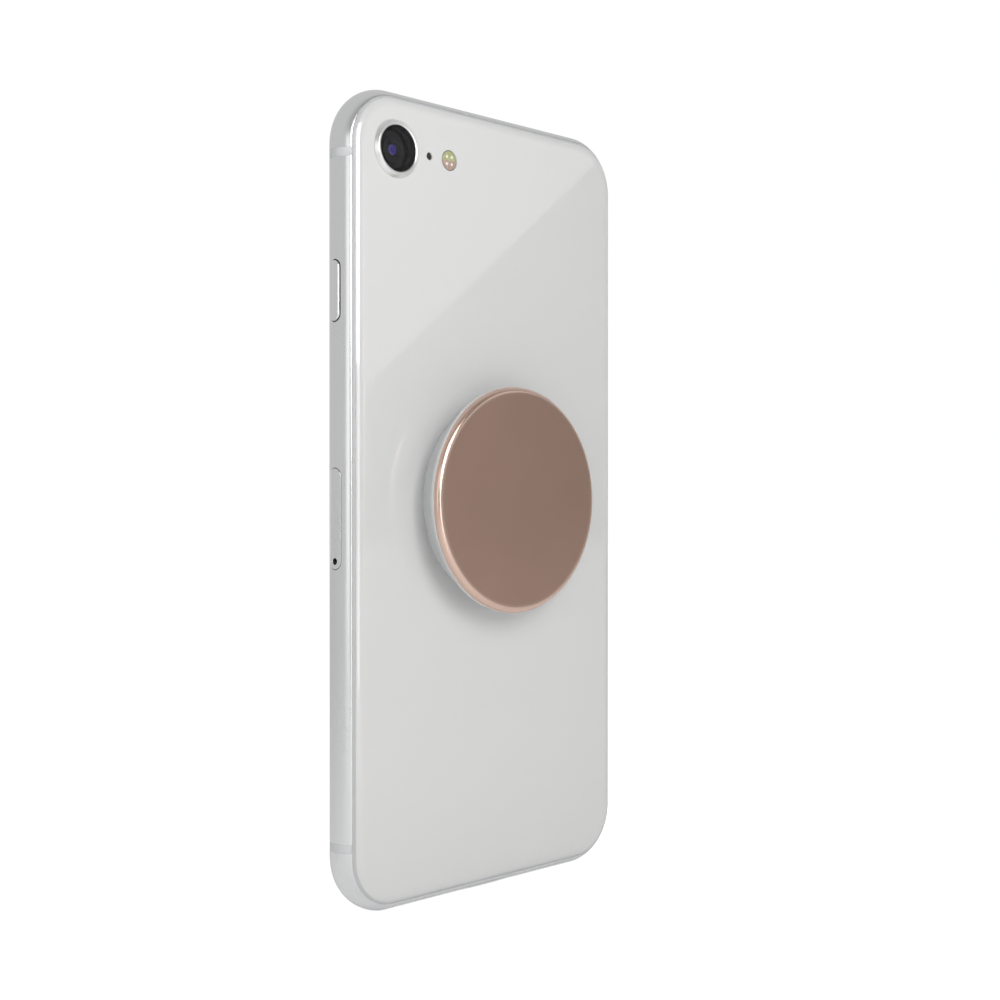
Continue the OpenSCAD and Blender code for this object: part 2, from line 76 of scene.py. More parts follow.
SLOT = {part["node"]: part["material_slot"] for part in frame["record"]["subparts"]}


def extent(node):
    """Lowest and highest corner of a node, in millimetres."""
    return [np.array(corner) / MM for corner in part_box(node)]


def middle(node):
    """Centre of a node's box, in millimetres."""
    return sum(extent(node)) / 2


# ---------------------------------------------------------------- driving dimensions
# body
HALF_W, THICK, HALF_H = extent("side_frame")[1][0], extent("rear_glass")[1][1], extent("side_frame")[1][2]
CORNER, EDGE, MID = 10.2, THICK / 2, THICK / 2
ROUND = CORNER - EDGE
CORE_X, CORE_Z = HALF_W - CORNER, HALF_H - CORNER
GLASS = extent("front_glass")[1][1]
BAND_LOW, BAND_HIGH = extent("side_frame")[0][1], extent("side_frame")[1][1]
INNER, SEAL_INNER = CORNER - 2.0, CORNER - 2.6
BREAK = 0.06
ANTENNA_Z, ANTENNA_L = 57.2, 1.5
# keys, mute slider and card tray
KEY_L, KEY_W, KEY_GAP, KEY_FOOT, KEY_BULGE = 10.0, 2.2, 0.15, 31.55, 12.0
MUTE_Z, MUTE_SLOT, MUTE_L, MUTE_W = middle("mute_switch_body")[2], (6.2, 2.7), 5.6, 1.5
TRAY_Z, TRAY_SLOT, TRAY_GAP = -3.06, (16.8, 2.7), 0.08
PIN_Z, PIN_R = -10.06, 0.55
CARD_X, CARD_L, CARD_W, PLATE_Z, PLATE_L = 21.2, 12.5, 9.0, -2.15, 13.5
# bottom edge
PORT_SLOT, SCREW_X, SCREW_R = (8.7, 2.7), 8.2, 0.95
SCREW_FACE, SCREW_SEAT, SHANK_R = -68.95, -68.1, 0.6
SOUND_X, SOUND_PITCH, SOUND_R, SOUND_COUNT = 11.6, 2.5, 0.75, 6
# rear camera row
CAMERA = (middle("camera_trim")[0], middle("camera_trim")[2])
FLASH = (middle("flash_lens")[0], middle("flash_lens")[2])
MICROPHONE = (middle("rear_microphone")[0], middle("rear_microphone")[2])
CAMERA_HOLE, FLASH_R, MICROPHONE_R = 4.5, 1.78, 0.65
# front
HOME = (0.0, middle("home_key")[2])
HOME_R, HOME_RING, HOME_HOLE, HOME_DEPTH = 4.96, 5.44, 5.47, 1.5
EAR = (0.0, middle("earpiece_mesh")[2])
EAR_SLOT = (10.6, 1.5)
# grip, heights above the rear glass
GRIP_R, BASE_R = extent("grip_cap")[1][0], extent("grip_base")[1][0]
PAD_TOP = extent("grip_adhesive")[1][1] - THICK
BASE_TOP = extent("grip_base")[1][1] - THICK
CAP_LOW, CAP_TOP = extent("grip_cap")[0][1] - THICK, extent("grip_cap")[1][1] - THICK
TABLE_TOP = extent("grip_turntable")[1][1] - THICK
COLLAR_TOP = extent("grip_collar")[1][1] - THICK


# ---------------------------------------------------------------- shader maths and finishes
class Value:
    """A socket in a finish; arithmetic on it adds the Math node that does the sum."""

    def __init__(self, finish, socket):
        self.finish, self.socket = finish, socket

    def math(self, operation, *terms):
        """A Math node on this value and the terms, in that order."""
        return self.finish.node("Math", {"operation": operation}, dict(enumerate((self, *terms))))

    def __add__(self, other): return self.math("ADD", other)
    def __sub__(self, other): return self.math("SUBTRACT", other)
    def __mul__(self, other): return self.math("MULTIPLY", other)
    def __rsub__(self, other): return self.finish.node("Math", {"operation": "SUBTRACT"}, {0: other, 1: self})
    def __abs__(self): return self.math("ABSOLUTE")
    __radd__, __rmul__ = __add__, __mul__

    def sine(self): return self.math("SINE")
    def root(self): return self.math("SQRT")
    def most(self, other): return self.math("MAXIMUM", other)

    def step(self, low, high):
        """0 below low, 1 above high and a smooth rise between; low above high falls instead."""
        ends = {"From Min": min(low, high), "From Max": max(low, high)}
        rise = self.finish.node("MapRange", {"interpolation_type": "SMOOTHSTEP"}, {"Value": self, **ends})
        return rise if low < high else 1 - rise


class Finish:
    """A named material: its node tree, its shader, and the place on the object in millimetres."""

    def __init__(self, name, roughness, **constant):
        self.material = bpy.data.materials.new(name)
        self.material.use_nodes = True
        self.tree = self.material.node_tree
        self.shader = self.tree.nodes["Principled BSDF"]
        self.put(Roughness=roughness, **constant)
        position = self.node("TexCoord", {}, {}, "Object")
        self.place = self.node("VectorMath", {"operation": "SCALE"}, {0: position, "Scale": 1 / MM})
        self.x, self.y, self.z = (self.node("SeparateXYZ", {}, {0: self.place}, axis) for axis in "XYZ")

    def node(self, kind, settings, values, out=0):
        """Adds a node: its settings first, then its sockets, each a value or a link; returns its output."""
        node = self.tree.nodes.new("ShaderNode" + kind)
        for key, value in settings.items():
            setattr(node, key, value)
        for key, value in values.items():
            self.feed(node.inputs[key], value)
        return Value(self, node.outputs[out])

    def feed(self, socket, value):
        """Links a value to a socket, or sets the socket to a number or a colour."""
        if isinstance(value, Value):
            self.tree.links.new(value.socket, socket)
        elif socket.type == "RGBA":
            socket.default_value = (*value[:3], 1.0)
        else:
            socket.default_value = value

    def put(self, **sockets):
        """Sets or links the shader's sockets, named with _ for a space."""
        for name, value in sockets.items():
            self.feed(self.shader.inputs[name.replace("_", " ")], value)

    def noise(self, size, detail=2.0, stretch=(1.0, 1.0, 1.0), roughness=0.5):
        """Cloudy noise from 0 to 1 with lumps about `size` millimetres across, stretched along the axes."""
        shrink = [1 / s for s in stretch]
        place = self.node("VectorMath", {"operation": "MULTIPLY"}, {0: self.place, 1: shrink})
        return self.node("TexNoise", {}, {"Vector": place, "Scale": 1 / size, "Detail": detail,
                                          "Roughness": roughness})

    def cells(self, size):
        """Distance to the middle of the nearest of random cells about `size` millimetres across."""
        return self.node("TexVoronoi", {}, {"Vector": self.place, "Scale": 1 / size}, "Distance")

    def mix(self, share, first, second):
        """The first colour turning into the second as share goes from 0 to 1."""
        return self.node("Mix", {"data_type": "RGBA"}, {0: share, 6: first, 7: second}, 2)

    def tones(self, share, colour, spread):
        """One colour a little darker and a little lighter, as share goes from 0 to 1."""
        darker, lighter = ([min(1.0, c * level) for c in colour] for level in (1 - spread, 1 + spread))
        return self.mix(share, darker, lighter)

    def relief(self, height, depth):
        """Bumps `depth` millimetres deep that follow height from 0 to 1."""
        self.put(Normal=self.node("Bump", {}, {"Strength": 1.0, "Distance": depth * MM, "Height": height}))

    def off_axis(self, centre):
        """Distance from an axis along Y through centre (x, z)."""
        across, up = self.x - centre[0], self.z - centre[1]
        return (across * across + up * up).root()


def metal(name, colour, rough, grain=0.09, depth=0.0015, stretch=(1.0, 1.0, 1.0)):
    """Bare or anodised metal: fine blasted grain in the relief, broad drifts of tone and of polish."""
    finish = Finish(name, rough, Metallic=1.0)
    fine, broad = finish.noise(grain, 2.0, stretch), finish.noise(14.0, 3.0)
    finish.put(Base_Color=finish.tones(fine * 0.5 + broad * 0.5, colour, 0.05),
               Roughness=rough - 0.04 + 0.08 * broad + 0.03 * fine)
    finish.relief(fine, depth)
    return finish


def plastic(name, colour, rough, grain=0.22, depth=0.003, spread=0.04, **constant):
    """Moulded plastic: fine spark texture in the relief, faint drifts of tone and gloss."""
    finish = Finish(name, rough, **constant)
    fine, broad = finish.noise(grain, 3.0), finish.noise(9.0, 2.0)
    finish.put(Base_Color=finish.tones(broad * 0.7 + fine * 0.3, colour, spread),
               Roughness=rough - 0.05 + 0.1 * broad)
    finish.relief(fine, depth)
    return finish


ROSE, POLYMER, SEAL_GREY = (0.51, 0.34, 0.27), (0.64, 0.65, 0.655), (0.50, 0.51, 0.515)
REAR_WHITE, FRONT_WHITE = (0.665, 0.665, 0.66), (0.82, 0.82, 0.81)


def satin_metal():
    """Blasted and anodised aluminium of the side frame, keys, slider and tray."""
    return metal("satin_metal", (0.80, 0.805, 0.81), 0.27)


def polished_metal():
    """Turned and polished steel: fine rings left by the tool about the camera's axis."""
    finish = metal("polished_metal", (0.88, 0.88, 0.87), 0.12, 0.3, 0.0004)
    rings = (finish.off_axis(CAMERA) * 60.0).sine()
    finish.put(Roughness=0.26 + 0.04 * rings + 0.06 * finish.noise(2.0))
    return finish


def rose_metal():
    """Rose anodised aluminium of the grip's cap: satin face, brighter where the rounded rim is polished."""
    finish = metal("rose_metal", ROSE, 0.34, 0.07, 0.0012)
    rim = finish.off_axis((0.0, 0.0)).step(GRIP_R - 1.6, GRIP_R - 0.8)
    fine, broad = finish.noise(0.07, 2.0), finish.noise(11.0, 3.0)
    face = finish.tones(fine * 0.6 + broad * 0.4, ROSE, 0.06)
    finish.put(Base_Color=finish.mix(rim, face, (0.74, 0.54, 0.45)),
               Roughness=0.36 + 0.06 * broad - 0.15 * rim)
    return finish


def inner_steel():
    """Rolled sheet steel: short streaks of the rolling along the length."""
    return metal("inner_steel", (0.60, 0.61, 0.63), 0.34, 0.2, 0.002, (1.0, 1.0, 14.0))


def copper():
    """Wound copper wire: closely spaced turns about the coil's axis."""
    finish = metal("copper", (0.78, 0.42, 0.24), 0.3)
    turns = (finish.off_axis((0.0, 0.0)) * 16.0).sine() * 0.5 + 0.5
    finish.put(Base_Color=finish.mix(turns, (0.42, 0.2, 0.1), (0.85, 0.48, 0.28)))
    finish.relief(turns, 0.08)
    return finish


def gold_contact():
    """Plated contacts with faint wiping marks."""
    return metal("gold_contact", (0.86, 0.66, 0.30), 0.22, 0.12, 0.001, (1.0, 6.0, 1.0))


def grey_polymer():
    """Filled polymer of the antenna bands and, darker and nearer the two faces, of the seals."""
    finish = plastic("grey_polymer", POLYMER, 0.45)
    seal = abs(finish.y - MID).step(2.72, 2.84)
    finish.put(Base_Color=finish.mix(seal, finish.tones(finish.noise(9.0), POLYMER, 0.04), SEAL_GREY))
    return finish


def coated_white(finish, broad):
    """White paint seen through glass: the gloss is the glass's, with the faintest smears."""
    smear = finish.noise(22.0, 4.0, (1.0, 1.0, 1.7)).step(0.45, 0.75)
    finish.put(Roughness=0.03 + 0.04 * smear + 0.02 * broad, Coat_Roughness=0.01)
    finish.relief(finish.noise(30.0, 1.0), 0.004)


def rear_glass():
    """Rear glass over white paint."""
    finish = Finish("rear_glass", 0.05, IOR=1.5, Coat_Weight=0.8)
    broad, speck = finish.noise(26.0, 3.0), finish.noise(0.12, 1.0)
    coated_white(finish, broad)
    finish.put(Base_Color=finish.tones(broad * 0.6 + speck * 0.4, REAR_WHITE, 0.012))
    return finish


def front_glass():
    """Front glass: a white painted border, a black window over the screen, a camera dot and a sensor dot."""
    finish = Finish("front_glass", 0.05, IOR=1.5, Coat_Weight=0.2)
    broad = finish.noise(26.0, 3.0)
    coated_white(finish, broad)
    half_w, half_h = 29.3, 52.15
    lit = abs(finish.x).step(half_w + 0.06, half_w - 0.06) * abs(finish.z).step(half_h + 0.06, half_h - 0.06)
    eye = finish.off_axis((-12.2, EAR[1])).step(1.75, 1.65)
    pupil = finish.off_axis((-12.2, EAR[1])).step(0.75, 0.6)
    sensor = finish.off_axis((0.0, 64.4)).step(1.15, 1.05)
    dark = lit.most(eye).most(sensor * 0.8)
    white = finish.tones(broad, FRONT_WHITE, 0.012)
    glow = finish.mix(pupil, (0.008, 0.008, 0.010), (0.02, 0.025, 0.06))
    finish.put(Base_Color=finish.mix(dark, white, glow))
    return finish


def display():
    """Unlit screen: black with the fine columns of its dots."""
    finish = Finish("display", 0.12)
    columns = (finish.x * 80.0).sine() * 0.5 + 0.5
    finish.put(Base_Color=finish.mix(columns, (0.008, 0.008, 0.011), (0.02, 0.02, 0.026)),
               Roughness=0.12 + 0.08 * finish.noise(5.0))
    return finish


def dark_mesh():
    """Woven acoustic mesh: a grid of tiny threads with dark gaps."""
    finish = Finish("dark_mesh", 0.5, Metallic=0.6)
    pitch = 0.16
    weave = ((finish.x * (math.tau / pitch)).sine() * (finish.z * (math.tau / pitch)).sine()) * 0.5 + 0.5
    finish.put(Base_Color=finish.mix(weave, (0.006, 0.006, 0.007), (0.075, 0.075, 0.08)),
               Roughness=0.4 + 0.2 * finish.noise(0.4))
    finish.relief(weave, 0.04)
    return finish


def lens_glass():
    """Camera cover: nearly black tinted sapphire, slightly darker towards its rim."""
    finish = Finish("lens_glass", 0.02, IOR=1.25, Alpha=0.3)
    rim = finish.off_axis(CAMERA).step(2.9, 3.5)
    finish.put(Base_Color=finish.mix(rim, (0.020, 0.020, 0.021), (0.006, 0.006, 0.007)),
               Roughness=0.02 + 0.03 * finish.noise(3.0))
    return finish


def lens_coated():
    """Lens stack: black rings round a front element with a violet-blue coating, and a pale crescent painted
    on the coating as the reflection of a light.
    """
    finish = Finish("lens_coated", 0.16, Coat_Weight=0.6)
    away = finish.off_axis(CAMERA)
    ring = ((away * 9.0).sine() * 0.5 + 0.5) * away.step(1.1, 1.3)
    body = finish.mix(ring, (0.010, 0.010, 0.011), (0.026, 0.026, 0.028))
    # painted reflection: a pale crescent where a light would be mirrored in the front element, painted into
    # its colour
    painted_reflection = finish.off_axis((CAMERA[0] + 0.25, CAMERA[1] - 0.1)).step(0.95, 0.75) * away.step(0.45, 0.9)
    coating = finish.mix(painted_reflection, (0.10, 0.05, 0.62), (0.40, 0.34, 0.80))
    finish.put(Base_Color=finish.mix(away.step(1.1, 0.6), body, coating),
               Roughness=0.1 + 0.15 * finish.noise(1.2))
    return finish


def clear_lens():
    """Flash lens: fine prism rings over a cool pair of lights above and a warm pair below."""
    finish = Finish("clear_lens", 0.08, Coat_Weight=0.5)
    away = finish.off_axis(FLASH)
    half = finish.z.step(FLASH[1] - 0.12, FLASH[1] + 0.12)
    across, up = abs(finish.x - FLASH[0]) - 0.58, abs(finish.z - FLASH[1]) - 0.62
    dot = (across * across + up * up).root().step(0.36, 0.16)
    streak = finish.noise(0.22, 2.0, (1.0, 1.0, 3.0)).step(0.5, 0.7)
    colour = finish.mix(half, (0.42, 0.28, 0.22), (0.38, 0.40, 0.17))
    colour = finish.mix(streak * 0.45, colour, (0.75, 0.74, 0.66))
    colour = finish.mix(dot * 0.85, colour, (0.95, 0.93, 0.82))
    finish.put(Base_Color=finish.mix(away.step(1.55, 1.7), colour, (0.16, 0.16, 0.15)),
               Roughness=0.08 + 0.1 * streak)
    finish.relief((away * 24.0).sine(), 0.012)
    return finish


def led_cool():
    """Cool phosphor: greenish yellow grains under a clear dome."""
    return plastic("led_cool", (0.62, 0.66, 0.22), 0.4, 0.06, 0.01, 0.12)


def led_warm():
    """Warm phosphor: orange grains under a clear dome."""
    return plastic("led_warm", (0.72, 0.40, 0.20), 0.4, 0.06, 0.01, 0.12)


def black_plastic():
    """Black moulded housings of the modules inside."""
    return plastic("black_plastic", (0.028, 0.028, 0.030), 0.42, spread=0.2)


def white_plastic():
    """White printed-circuit and module parts."""
    return plastic("white_plastic", (0.78, 0.78, 0.76), 0.4)


def white_ceramic():
    """Home key: hard white coating with an even gloss."""
    return plastic("white_ceramic", (0.80, 0.80, 0.79), 0.14, 2.5, 0.0015, 0.012, Coat_Weight=0.4)


def battery_wrap():
    """Crinkled black foil round the battery cell."""
    finish = plastic("battery_wrap", (0.035, 0.035, 0.038), 0.33, spread=0.25)
    finish.relief(finish.noise(2.6, 4.0, (1.0, 1.0, 3.0)), 0.06)
    return finish


def circuit_board():
    """Solder mask over copper traces: narrow straight tracks both ways under a dark green lacquer."""
    finish = plastic("circuit_board", (0.02, 0.09, 0.06), 0.3)
    tracks = (finish.z * 7.0 + 3.0 * finish.noise(6.0, 0.0)).sine().step(0.75, 0.9)
    cross = (finish.x * 7.0 + 3.0 * finish.noise(5.0, 0.0)).sine().step(0.8, 0.93)
    lines = tracks.most(cross)
    finish.put(Base_Color=finish.mix(lines, (0.012, 0.065, 0.045), (0.05, 0.20, 0.12)))
    finish.relief(lines, 0.02)
    return finish


def flex_copper():
    """Amber polyimide flex over copper, with its parallel tracks."""
    finish = plastic("flex_copper", (0.55, 0.30, 0.08), 0.3)
    tracks = (finish.x * 9.0).sine().step(0.1, 0.5)
    finish.put(Base_Color=finish.mix(tracks, (0.34, 0.16, 0.04), (0.68, 0.40, 0.14)))
    return finish


def orange_plastic():
    """Bright orange plastic behind the mute slider."""
    return plastic("orange_plastic", (0.85, 0.22, 0.03), 0.42)


def adhesive_foam():
    """Clear acrylic foam pad: milky, with tiny closed bubbles."""
    finish = Finish("adhesive_foam", 0.3)
    bubbles = finish.cells(0.35)
    finish.put(Base_Color=finish.mix(bubbles, (0.74, 0.76, 0.76), (0.60, 0.62, 0.63)))
    finish.relief(bubbles, 0.03)
    return finish


def grip_plastic():
    """Pale grey moulded plastic of the grip's base, table, collar and carrier."""
    return plastic("grip_plastic", (0.66, 0.67, 0.67), 0.32, 0.18, 0.002)


def grip_rubber():
    """Soft white thermoplastic rubber of the folds, with a dusty sheen."""
    finish = plastic("grip_rubber", (0.74, 0.74, 0.73), 0.55, 0.15, 0.006, Sheen_Weight=0.25)
    finish.put(Roughness=0.5 + 0.15 * finish.noise(4.0))
    return finish


FINISHES = (satin_metal, polished_metal, rose_metal, inner_steel, copper, gold_contact, grey_polymer,
            rear_glass, front_glass, display, dark_mesh, lens_glass, lens_coated, clear_lens, led_cool,
            led_warm, black_plastic, white_plastic, white_ceramic, battery_wrap, circuit_board, flex_copper,
            orange_plastic, adhesive_foam, grip_plastic, grip_rubber)
finishes = {make.__name__: make().material for make in FINISHES}
for name, node in frame["nodes"].items():
    for place in node.material_slots:
        place.material = finishes[SLOT[name]]


# ---------------------------------------------------------------- surfaces
def lattice(points, wrap_u=False, wrap_v=False):
    """Quads over a grid of points; wrapping joins the last row or column to the first."""
    rows, columns = points.shape[:2]
    index = np.arange(rows * columns).reshape(rows, columns)
    if wrap_u:
        index = np.vstack([index, index[:1]])
    if wrap_v:
        index = np.hstack([index, index[:, :1]])
    faces = np.stack([index[:-1, :-1], index[1:, :-1], index[1:, 1:], index[:-1, 1:]], axis=-1)
    return points.reshape(-1, 3), faces.reshape(-1, 4)


def joined(*axes):
    """Arrays broadcast together, with their coordinates in a new last axis."""
    return np.stack(np.broadcast_arrays(*axes), axis=-1).astype(float)


def levels(*stops, step):
    """Rising values through every stop, evenly spaced between two stops and at most a step apart."""
    counts = [math.ceil((b - a) / step - 1e-9) + 1 for a, b in zip(stops, stops[1:])]
    runs = [np.linspace(a, b, count)[:-1] for a, b, count in zip(stops, stops[1:], counts)]
    return np.append(np.concatenate(runs), stops[-1])


def outline(grid):
    """A grid's outermost points in order, once round."""
    return np.concatenate([grid[0, :-1], grid[:-1, -1], grid[-1, :0:-1], grid[:0:-1, 0]])


def span(lines, low, high):
    """Indices of the grid lines nearest to low and high."""
    return [int(np.abs(lines - value).argmin()) for value in (low, high)]


MARGIN = np.array([1, 2, 3, 4, 5, 5.8, 6]) / 6


def rounded_grid(columns, rows, radius):
    """A grid of (a, b) over a rectangle with round corners. The given lines cover its core, and a margin of
    width radius goes round it. In a corner (s, t) of the unit square goes to the radius max(s, t), at the
    angle that the ratio of s to t gives, so that the square's outer sides become the corner's arc."""
    columns, rows = (np.concatenate([v[0] - MARGIN[::-1] * radius, v, v[-1] + MARGIN * radius])
                     for v in (columns, rows))
    a, b = np.meshgrid(columns, rows)
    inner = slice(len(MARGIN), -len(MARGIN))
    core_a, core_b = np.clip(a, *columns[inner][[0, -1]]), np.clip(b, *rows[inner][[0, -1]])
    s, t = a - core_a, b - core_b
    corner = (s != 0) & (t != 0)
    away, near = np.maximum(abs(s), abs(t)), np.minimum(abs(s), abs(t))
    turn = math.pi / 4 * near / np.where(corner, away, 1)
    turn = np.where(abs(s) >= abs(t), turn, math.pi / 2 - turn)
    a = np.where(corner, core_a + np.sign(s) * away * np.cos(turn), a)
    b = np.where(corner, core_b + np.sign(t) * away * np.sin(turn), b)
    return joined(a, b), columns, rows


def bar(centre, length, width):
    """The outline of a bar with round ends, as a function: a point outside goes straight to the bar's edge
    from the nearest point of its middle line, at half the width plus `grow`."""
    half = (length - width) / 2

    def rim(ring, grow):
        spine = joined(centre[0] + np.clip(ring[..., 0] - centre[0], -half, half), centre[1])
        away = ring - spine
        return spine + (width / 2 + grow) * away / np.linalg.norm(away, axis=-1, keepdims=True)
    return rim


def same(ring, grow):
    """The outline of a hole that fills its whole block."""
    return ring


SPREAD = np.array([1.0, 0.6, 0.3, 0.1, 0.0])


def sheet(grid, lift, holes=(), edge=((0.0, 0.0), (0.0, 1.0)), core=None, chamfer=0.04):
    """A closed plate over a grid of (a, b), where lift(ab, t) is the point a fraction t of the way from its
    outer to its inner face. In a hole's block the cells give way to loops that run from the block's outline
    to the hole's, through it and out again on the far face. Round the grid's outline go the loops of edge:
    each is the outline pushed outwards from the core by its first number, at the fraction t of its second."""
    cells = np.ones(np.array(grid.shape[:2]) - 1, bool)
    patches = []
    for (low, high), (left, right), rim in holes:
        cells[low:high, left:right] = False
        ring = outline(grid[low:high + 1, left:right + 1])
        wide, true = rim(ring, BREAK), rim(ring, 0.0)
        faces = [wide + (ring - wide) * share for share in SPREAD]
        loops = [lift(p, 0.0) for p in faces] + [lift(true, chamfer), lift(true, 1 - chamfer)]
        loops += [lift(p, 1.0) for p in faces[::-1]]
        patches.append(lattice(np.stack(loops), wrap_v=True))
    for t in (0.0, 1.0):
        points, quads = lattice(lift(grid, t))
        patches.append((points, quads[cells.ravel()]))
    ring = outline(grid)
    away = 0 * ring
    if core is not None:
        away = ring - np.clip(ring, -np.array(core), core)
        away /= np.linalg.norm(away, axis=-1, keepdims=True)
    patches.append(lattice(np.stack([lift(ring + away * grow, t) for grow, t in edge]), wrap_v=True))
    return patches


def filleted(profile, radius, closed=False, steps=6):
    """A polyline with each corner replaced by the parabola that leaves one side `radius` before it and joins
    the other as far after it, or at most 0.45 of the way along a side."""
    points = np.array(profile, float)
    back, ahead = np.roll(points, 1, axis=0) - points, np.roll(points, -1, axis=0) - points
    back_l, ahead_l = np.linalg.norm(back, axis=1), np.linalg.norm(ahead, axis=1)
    cut = np.minimum(radius, 0.45 * np.minimum(back_l, ahead_l))
    start, stop = points + back * (cut / back_l)[:, None], points + ahead * (cut / ahead_l)[:, None]
    t = np.linspace(0, 1, steps)[None, :, None]
    curve = (1 - t) ** 2 * start[:, None] + 2 * t * (1 - t) * points[:, None] + t ** 2 * stop[:, None]
    if closed:
        return curve.reshape(-1, 2)
    return np.vstack([points[:1], curve[1:-1].reshape(-1, 2), points[-1:]])


def turned(profile, centre=(0.0, 0.0), base=THICK, steps=160):
    """A profile of (radius, height) carried round an axis along Y through centre (x, z); height is added to
    base. A profile that starts on the axis is open there, and any other closes on itself."""
    angle = np.linspace(0, math.tau, steps, endpoint=False)[:, None]
    radius, height = np.array(profile, float).T[:, None, :]
    points = joined(centre[0] + radius * np.cos(angle), base + height, centre[1] + radius * np.sin(angle))
    return [lattice(points, wrap_u=True, wrap_v=radius[0, 0] > 0)]


def skin(y):
    """Reach of the rounded edge at depth y: a circle of radius EDGE about the middle of the thickness."""
    return ROUND + np.sqrt(np.maximum(EDGE ** 2 - (np.asarray(y, float) - MID) ** 2, 0))


PATH = np.cumsum([0, CORE_X, CORNER * math.pi / 2, 2 * CORE_Z, CORNER * math.pi / 2, 2 * CORE_X,
                  CORNER * math.pi / 2, 2 * CORE_Z, CORNER * math.pi / 2, CORE_X])
PATH_X = np.array([0, -1, -1, -1, -1, 1, 1, 1, 1, 0]) * CORE_X
PATH_Z = np.array([1, 1, 1, -1, -1, -1, -1, 1, 1, 1]) * CORE_Z
PATH_TURN = np.radians([90, 90, 180, 180, 270, 270, 360, 360, 450, 450])


def around(s, reach, y):
    """The point at depth y, `reach` out from the core, s along the outline: from the middle of the top down
    the left side, along the bottom, up the right side and back."""
    s = np.mod(s, PATH[-1])
    turn = np.interp(s, PATH, PATH_TURN)
    x, z = np.interp(s, PATH, PATH_X), np.interp(s, PATH, PATH_Z)
    return joined(x + reach * np.cos(turn), y, z + reach * np.sin(turn))


def left(z): return PATH[2] + CORE_Z - z
def bottom(x): return PATH[4] + CORE_X + x
def right(z): return PATH[6] + CORE_Z + z


def piece(name, body, nodes, patches, sharp=38.0):
    """Joins patches into one closed mesh in metres, merges their seams and turns its faces outwards. It takes
    its finish from the first node that it replaces."""
    counts = np.cumsum([0] + [len(points) for points, _ in patches])
    points = np.vstack([points for points, _ in patches]) * MM
    faces = np.vstack([faces + start for (_, faces), start in zip(patches, counts)])
    mesh = bpy.data.meshes.new(name)
    mesh.from_pydata(points.tolist(), [], faces.tolist())
    work = bmesh.new()
    work.from_mesh(mesh)
    bmesh.ops.remove_doubles(work, verts=work.verts, dist=1e-6)
    bmesh.ops.delete(work, geom=[v for v in work.verts if not v.link_faces], context="VERTS")
    bmesh.ops.recalc_face_normals(work, faces=work.faces)
    work.to_mesh(mesh)
    work.free()
    mesh.polygons.foreach_set("use_smooth", np.ones(len(mesh.polygons), bool))
    mesh.set_sharp_from_angle(angle=math.radians(sharp))
    mesh.materials.append(finishes[SLOT[nodes[0]]])
    item = bpy.data.objects.new(name, mesh)
    bpy.context.scene.collection.objects.link(item)
    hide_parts(*nodes)
    if body:
        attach(item, body)
    return item


# ---------------------------------------------------------------- housing
SMALL_BLOCK, LARGE_BLOCK, SMALL_WIDTH = 1.4, 2.1, 2.2
DEPTHS = levels(BAND_LOW, BAND_LOW + BREAK, MID - LARGE_BLOCK, MID - SMALL_BLOCK, MID + SMALL_BLOCK,
                MID + LARGE_BLOCK, BAND_HIGH - BREAK, BAND_HIGH, step=0.3)


def frame_run(start, stop, slots=(), sink=0.0):
    """A closed run of the side frame's section from start to stop along the outline. Its outer face is the
    skin less `sink`, its inner face the inner wall, both drawn in by BREAK at the two rims. A slot is
    (place along the outline, length, width); its block is SMALL_BLOCK or LARGE_BLOCK deep each way."""
    def lift(ab, t):
        s, y = ab[..., 0], ab[..., 1]
        inset = BREAK - np.clip(np.minimum(y - BAND_LOW, BAND_HIGH - y), 0, BREAK)
        outer, inner = skin(y) - inset - sink, INNER + inset
        return around(s, outer + (inner - outer) * t, y)

    blocks = [(at, length / 2 + (0.45 if width < SMALL_WIDTH else 0.95),
               SMALL_BLOCK if width < SMALL_WIDTH else LARGE_BLOCK) for at, length, width in slots]
    marks = sorted({start, stop, *(at + side * half for at, half, _ in blocks for side in (-1, 1))})
    columns = levels(*marks, step=0.55)
    holes = [(span(DEPTHS, MID - deep, MID + deep), span(columns, at - half, at + half),
              bar((at, MID), length, width)) for (at, length, width), (_, half, deep) in zip(slots, blocks)]
    return sheet(joined(*np.meshgrid(columns, DEPTHS)), lift, holes)


def bottom_slots():
    """Openings of the bottom edge: the port, two screws and two rows of sound holes."""
    row = SOUND_X + SOUND_PITCH * np.arange(SOUND_COUNT)
    screw = 2 * SCREW_R + 0.1
    slots = [(bottom(0), *PORT_SLOT)] + [(bottom(side * SCREW_X), screw, screw) for side in (-1, 1)]
    return slots + [(bottom(side * x), 2 * SOUND_R, 2 * SOUND_R) for side in (-1, 1) for x in row]


def side_frame():
    """Four runs of the side frame between the antenna bands, with the openings of its keys, tray and port."""
    high, low = ANTENNA_Z + ANTENNA_L / 2, ANTENNA_Z - ANTENNA_L / 2
    key = (KEY_L + 2 * KEY_GAP, KEY_W + 2 * KEY_GAP)
    keys = {name: middle(name)[2] for name in ("power_key", "volume_up_key", "volume_down_key")}
    patches = frame_run(right(high), PATH[-1] + left(high))
    patches += frame_run(left(low), left(-low), [
        (left(MUTE_Z), *MUTE_SLOT), (left(keys["volume_up_key"]), *key),
        (left(keys["volume_down_key"]), *key)])
    patches += frame_run(left(-high), right(-high), bottom_slots())
    patches += frame_run(right(-low), right(low), [
        (right(TRAY_Z), *TRAY_SLOT), (right(keys["power_key"]), *key)])
    piece("frame_band", "phone", ["side_frame"], patches)


def antenna_bands():
    """Polymer fillings of the four slots across the side frame, a hair below its skin."""
    high, low = ANTENNA_Z + ANTENNA_L / 2 - 0.01, ANTENNA_Z - ANTENNA_L / 2 + 0.01
    ends = [(left(high), left(low)), (left(-low), left(-high)),
            (right(-high), right(-low)), (right(low), right(high))]
    patches = [patch for pair in ends for patch in frame_run(*pair, sink=0.015)]
    piece("antenna_fillings", "phone", ["antenna_bands"], patches)


